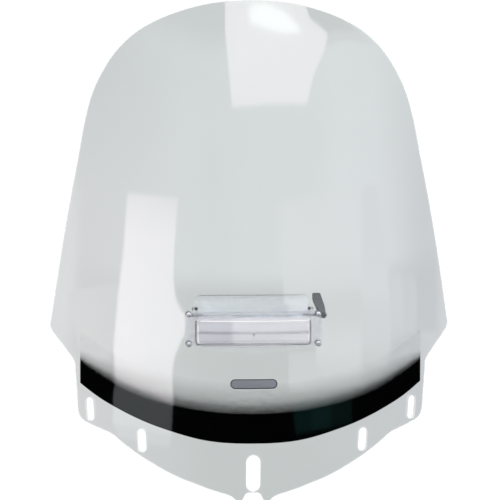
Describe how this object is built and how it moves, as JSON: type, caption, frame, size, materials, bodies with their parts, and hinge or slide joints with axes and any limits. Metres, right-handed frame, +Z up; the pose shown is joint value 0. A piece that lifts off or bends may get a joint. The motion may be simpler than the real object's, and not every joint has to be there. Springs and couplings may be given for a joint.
{
  "type": "vented windshield screen",
  "caption": "Clear domed touring windshield with a black lower band that fades upwards, a slotted mounting flange and a vent with a hinged clear vane set by a dark lever.",
  "frame": {"origin": "centre of the middle mounting slot, on the sheet's front face", "axes": "+Z up the screen, +X to the viewer's right as seen from the front, -Y forwards, out of the front face. On the motorcycle the whole screen leans back a further 20 degrees or so."},
  "size_m": [0.613, 0.1479, 0.7669],
  "materials": {
    "clear_sheet": "polished clear acrylic with a faint neutral grey tint",
    "clear_duct": "moulded clear polycarbonate, faint lavender grey",
    "clear_gasket": "translucent silicone",
    "band_ink": "black screen-printed ink, on the rear face so it looks glossy from the front",
    "fade_ink": "black ink in rows of dots that shrink upwards",
    "badge_dark": "dark satin, blank",
    "smoke_lever": "dark smoke-grey moulding",
    "black_rubber": "matt black",
    "steel_pin": "ground stainless",
    "steel_hardware": "stainless",
    "spring_steel": "dark phosphated",
    "nylon": "natural nylon"
  },
  "bodies": {
    "screen": {"screen_sheet": "clear_sheet", "lower_band": "band_ink", "fade_band": "fade_ink", "badge": "badge_dark", "vent_bezel": "clear_duct", "bezel_gasket": "clear_gasket", "vent_housing": "clear_duct", "housing_gasket": "clear_gasket", "vane_seal": "black_rubber", "stop_bumpers": "black_rubber", "vent_screws": "steel_hardware", "vent_washers": "steel_hardware", "vent_nuts": "steel_hardware"},
    "vane": {"vane": "clear_duct", "vane_lever": "smoke_lever", "lever_screw": "steel_hardware", "pivot_pin_left": "steel_pin", "pivot_pin_right": "steel_pin", "friction_washers": "nylon", "pin_clips": "spring_steel"}
  },
  "joints": [
    {"name": "vane_tilt", "type": "hinge", "parent": "screen", "child": "vane", "pos_m": [0, 0.01229, 0.243], "axis": [1, 0, 0], "range_deg": [-123, 10]}
  ]
}
